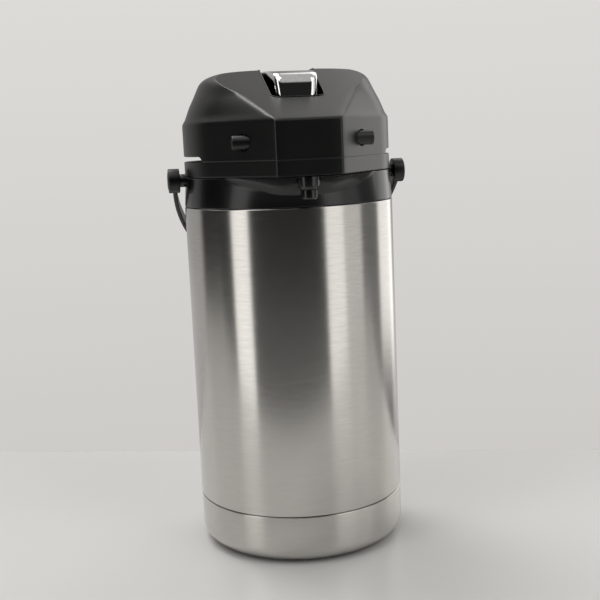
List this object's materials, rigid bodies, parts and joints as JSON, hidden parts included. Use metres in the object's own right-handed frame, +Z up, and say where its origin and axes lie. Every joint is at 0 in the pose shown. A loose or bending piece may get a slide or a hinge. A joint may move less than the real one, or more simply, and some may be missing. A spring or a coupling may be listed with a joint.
{
  "type": "thermal coffee airpot",
  "caption": "Tall steel vacuum airpot with a black nosed lid, a chrome pump lever, side latch buttons, a spout under the nose and a swinging bail handle.",
  "frame": {"origin": "centre of the foot pad's flat underside, on the body's axis, at table height", "axes": "+Z up along the body's axis, -Y towards the spout, +X to the right of someone who faces the spout"},
  "size_m": [0.202, 0.2147, 0.3973],
  "materials": {
    "brushed_steel": "fine brushing that runs round the body",
    "bright_steel": "drawn or polished stainless steel",
    "black_satin": "black moulded plastic with a fine satin texture",
    "black_gloss": "smooth glossy black plastic",
    "grey_plastic": "plain moulded grey plastic",
    "silicone": "translucent grey silicone",
    "rubber": "matte black non-slip rubber",
    "chrome": "bright chrome plating"
  },
  "bodies": {
    "root": {"foot_pad": "rubber", "base_cup": "brushed_steel", "outer_shell": "brushed_steel", "liner_cup": "bright_steel", "liner_shoulder": "bright_steel", "collar": "black_gloss", "neck_gasket": "silicone", "mouth_ring": "grey_plastic", "spout_housing": "black_satin", "spout_nozzle": "black_gloss", "spout_tip": "black_gloss", "delivery_pipe": "grey_plastic", "siphon_tube": "bright_steel", "siphon_seal": "silicone", "hinge_pin": "bright_steel", "bail_pin_left": "bright_steel", "bail_pin_right": "bright_steel", "housing_screw_1": "bright_steel", "housing_screw_2": "bright_steel", "housing_screw_3": "bright_steel"},
    "lid": {"lid_shell": "black_satin", "lid_base_plate": "grey_plastic", "lid_gasket": "silicone", "lid_screw_left": "bright_steel", "lid_screw_right": "bright_steel", "bellows": "silicone", "bellows_spring": "bright_steel", "lever_pin": "bright_steel", "latch_spring": "bright_steel"},
    "lever": {"lever_arm": "black_satin", "lever_grip": "chrome", "grip_screw": "bright_steel"},
    "pusher": {"pump_disc": "grey_plastic", "intake_flap": "silicone"},
    "latch_left": {"latch_button_left": "black_satin"},
    "latch_right": {"latch_button_right": "black_satin"},
    "bail": {"bail_strap": "black_satin", "bail_grip": "black_satin", "hub_cap_left": "black_gloss", "hub_cap_right": "black_gloss"}
  },
  "joints": [
    {"name": "lid_hinge", "type": "hinge", "parent": "root", "child": "lid", "pos_m": [0, 0.091, 0.3302], "axis": [-1, 0, 0], "range_deg": [0, 95]},
    {"name": "lever_press", "type": "hinge", "parent": "lid", "child": "lever", "pos_m": [0, 0.052, 0.382], "axis": [1, 0, 0], "range_deg": [0, 12], "stiffness_Nm_per_rad": 4, "springref_deg": -5.73},
    {"name": "pump_slide", "type": "slide", "parent": "lid", "child": "pusher", "axis": [0, 0, -1], "range_m": [0, 0.011], "deforming": ["bellows", "bellows_spring"]},
    {"name": "latch_left_push", "type": "slide", "parent": "lid", "child": "latch_left", "axis": [1, 0, 0], "range_m": [0, 0.004], "stiffness_N_per_m": 300, "springref_m": -0.004},
    {"name": "latch_right_push", "type": "slide", "parent": "lid", "child": "latch_right", "axis": [-1, 0, 0], "range_m": [0, 0.004], "stiffness_N_per_m": 300, "springref_m": -0.004},
    {"name": "bail_swing", "type": "hinge", "parent": "root", "child": "bail", "pos_m": [0, 0, 0.311], "axis": [1, 0, 0], "range_deg": [0, 132]}
  ],
  "couplings": [
    {"joint": "pump_slide", "follows": "lever_press", "m_per_rad": 0.052}
  ]
}
